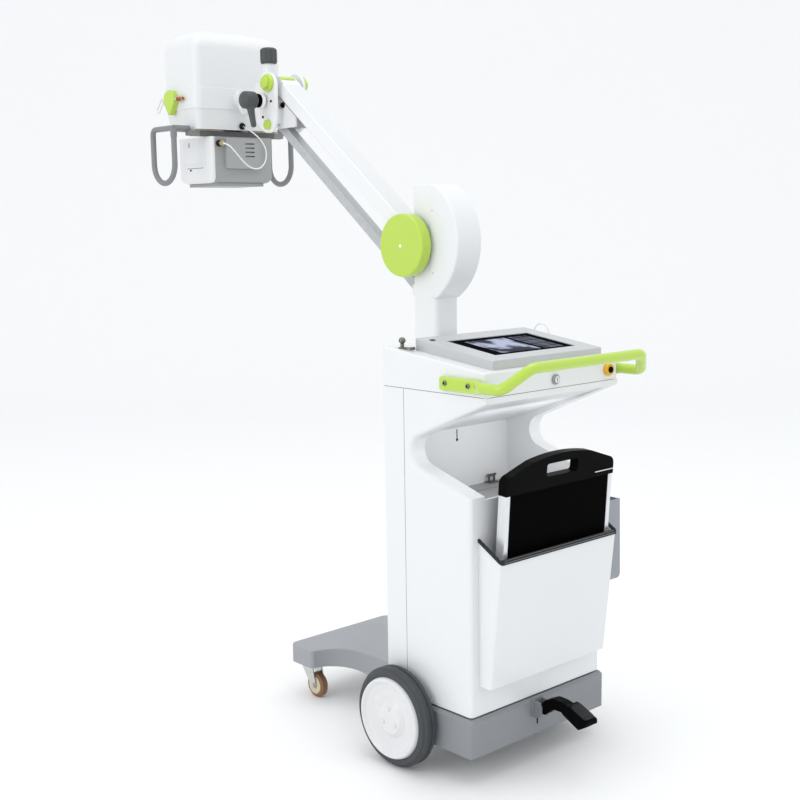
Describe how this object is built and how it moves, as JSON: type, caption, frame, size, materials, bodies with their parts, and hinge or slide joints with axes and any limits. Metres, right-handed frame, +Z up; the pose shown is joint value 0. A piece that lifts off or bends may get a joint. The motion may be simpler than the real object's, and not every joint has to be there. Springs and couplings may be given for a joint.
{
  "type": "mobile x-ray machine",
  "caption": "Mobile x-ray machine on wheels: cabinet with console and push handle, swivelling column, parallelogram arm, tube head with collimator and detector bin.",
  "frame": {"origin": "centre of the footprint box on the floor, below the middle between the push handle's rear and the tube head's front", "axes": "+Z up, +Y the way the arm reaches, away from the push handle, +X to the operator's right"},
  "size_m": [0.667, 1.7132, 2.0841],
  "materials": {
    "white_shell": "satin moulded cover",
    "white_paint": "satin powder coat",
    "green_cover": "satin moulded cover",
    "green_paint": "satin powder coat",
    "grey_iron": "grey paint on casting",
    "grey_paint": "satin grey paint",
    "light_grey_paint": "satin light grey paint",
    "grey_plastic": "matt moulded",
    "light_grey_plastic": "matt moulded",
    "dark_plastic": "fine grain",
    "yellow_plastic": "gloss moulded",
    "rubber_trim": "matt rubber",
    "grey_tyre": "non-marking grey rubber",
    "caster_tread": "brown polyurethane",
    "zinc_steel": "zinc plated",
    "chrome_steel": "polished chrome",
    "anodised": "satin anodised",
    "screen_glass": "glossy display",
    "cable_white": "smooth sheath"
  },
  "bodies": {
    "chassis": {"front_shell": "white_shell", "rear_shell": "white_shell", "storage_tray": "light_grey_plastic", "tray_clasp": "grey_plastic", "console_shell": "white_shell", "stop_ring": "yellow_plastic", "key_ring": "grey_plastic", "screen_bezel": "grey_plastic", "touch_screen": "screen_glass", "park_stud": "dark_plastic", "cable_hoop": "zinc_steel", "push_handle": "green_paint", "rear_base": "grey_iron", "rear_axle": "zinc_steel", "front_platform": "grey_iron", "detector_bin": "white_shell", "bin_trim": "rubber_trim", "side_pocket": "light_grey_plastic", "generator": "grey_paint", "battery_pack": "dark_plastic"},
    "stop_button": {"stop_button": "dark_plastic"},
    "key": {"key_rotor": "zinc_steel"},
    "wheel_left": {"rear_wheel_left": "white_shell", "rear_tyre_left": "grey_tyre"},
    "wheel_right": {"rear_wheel_right": "white_shell", "rear_tyre_right": "grey_tyre"},
    "caster_left": {"caster_fork_left": "zinc_steel"},
    "caster_left_wheel": {"caster_wheel_left": "caster_tread"},
    "caster_right": {"caster_fork_right": "zinc_steel"},
    "caster_right_wheel": {"caster_wheel_right": "caster_tread"},
    "pedal": {"brake_pedal": "dark_plastic"},
    "carrier": {"carrier_frame": "anodised", "detector_panel": "dark_plastic", "carrier_cap": "dark_plastic"},
    "column": {"column_tube": "white_paint", "balance_housing": "white_shell", "balance_spring": "zinc_steel"},
    "arm": {"arm_tube": "white_paint", "arm_cover": "light_grey_plastic", "arm_fork": "white_paint", "disc_covers": "green_cover"},
    "link": {"lower_link": "light_grey_paint"},
    "bracket": {"bracket_plates": "white_paint", "bracket_channel": "light_grey_paint", "pivot_covers": "green_cover"},
    "tilt_block": {"tilt_block": "white_paint"},
    "tilt_lever": {"tilt_lever": "dark_plastic"},
    "yoke": {"head_yoke": "white_paint"},
    "swivel_knob": {"swivel_knob": "dark_plastic"},
    "head": {"head_housing": "white_shell", "head_cover": "white_shell", "tube_insert": "grey_paint", "tape_measure": "green_cover"},
    "tape_ring": {"tape_ring": "chrome_steel"},
    "collimator": {"turntable": "dark_plastic", "collimator_body": "white_shell", "collimator_panel": "white_shell", "vent_box": "light_grey_plastic", "handle_frame": "grey_paint", "collimator_cable": "cable_white"}
  },
  "joints": [
    {"name": "wheel_left_roll", "type": "hinge", "parent": "chassis", "child": "wheel_left", "pos_m": [-0.3, -0.41463, 0.137], "axis": [1, 0, 0], "continuous": true},
    {"name": "wheel_right_roll", "type": "hinge", "parent": "chassis", "child": "wheel_right", "pos_m": [0.3, -0.41463, 0.137], "axis": [1, 0, 0], "continuous": true},
    {"name": "caster_left_swivel", "type": "hinge", "parent": "chassis", "child": "caster_left", "pos_m": [-0.145, 0.15137, 0.06], "axis": [0, 0, 1], "continuous": true},
    {"name": "caster_right_swivel", "type": "hinge", "parent": "chassis", "child": "caster_right", "pos_m": [0.145, 0.15137, 0.06], "axis": [0, 0, 1], "continuous": true},
    {"name": "caster_left_roll", "type": "hinge", "parent": "caster_left", "child": "caster_left_wheel", "pos_m": [-0.145, 0.12137, 0.038], "axis": [1, 0, 0], "continuous": true},
    {"name": "caster_right_roll", "type": "hinge", "parent": "caster_right", "child": "caster_right_wheel", "pos_m": [0.145, 0.12137, 0.038], "axis": [1, 0, 0], "continuous": true},
    {"name": "pedal_press", "type": "hinge", "parent": "chassis", "child": "pedal", "pos_m": [-0.014, -0.68763, 0.156], "axis": [1, 0, 0], "range_deg": [0, 14]},
    {"name": "stop_press", "type": "slide", "parent": "chassis", "child": "stop_button", "axis": [0, 1, 0], "range_m": [0, 0.003], "stiffness_N_per_m": 1200, "springref_m": -0.002},
    {"name": "key_turn", "type": "hinge", "parent": "chassis", "child": "key", "pos_m": [0, -0.71463, 1.054], "axis": [0, 1, 0], "range_deg": [0, 90]},
    {"name": "carrier_lift", "type": "slide", "parent": "chassis", "child": "carrier", "axis": [0, -0.0924, 0.9957], "range_m": [0, 0.45]},
    {"name": "column_swivel", "type": "hinge", "parent": "chassis", "child": "column", "pos_m": [0, -0.27563, 0.8], "axis": [0, 0, 1], "range_deg": [-90, 90]},
    {"name": "arm_lift", "type": "hinge", "parent": "column", "child": "arm", "pos_m": [0, -0.23063, 1.397], "axis": [1, 0, 0], "range_deg": [-60, 0]},
    {"name": "link_lift", "type": "hinge", "parent": "column", "child": "link", "pos_m": [0, -0.22263, 1.27], "axis": [1, 0, 0], "range_deg": [-60, 0]},
    {"name": "bracket_level", "type": "hinge", "parent": "arm", "child": "bracket", "pos_m": [0, 0.39954, 1.89468], "axis": [1, 0, 0], "range_deg": [0, 60]},
    {"name": "head_tilt", "type": "hinge", "parent": "bracket", "child": "tilt_block", "pos_m": [0, 0.42737, 1.842], "axis": [1, 0, 0], "range_deg": [-20, 20]},
    {"name": "tilt_lock", "type": "hinge", "parent": "bracket", "child": "tilt_lever", "pos_m": [-0.09, 0.42737, 1.842], "axis": [1, 0, 0], "range_deg": [-45, 0]},
    {"name": "head_yaw", "type": "hinge", "parent": "tilt_block", "child": "yoke", "pos_m": [0, 0.47637, 1.842], "axis": [0, 0, 1], "range_deg": [-65, 65]},
    {"name": "yaw_lock", "type": "hinge", "parent": "yoke", "child": "swivel_knob", "pos_m": [0, 0.47637, 1.99], "axis": [0, 0, 1], "range_deg": [-90, 90]},
    {"name": "head_roll", "type": "hinge", "parent": "yoke", "child": "head", "pos_m": [0, 0.59437, 1.866], "axis": [0, 1, 0], "range_deg": [-90, 90]},
    {"name": "collimator_turn", "type": "hinge", "parent": "head", "child": "collimator", "pos_m": [0, 0.73337, 1.745], "axis": [0, 0, 1], "range_deg": [-45, 45], "deforming": ["collimator_cable"]},
    {"name": "tape_pull", "type": "slide", "parent": "head", "child": "tape_ring", "axis": [0, 1, 0], "range_m": [0, 0.6]}
  ],
  "couplings": [
    {"joint": "link_lift", "follows": "arm_lift", "ratio": 1},
    {"joint": "bracket_level", "follows": "arm_lift", "ratio": -1}
  ]
}
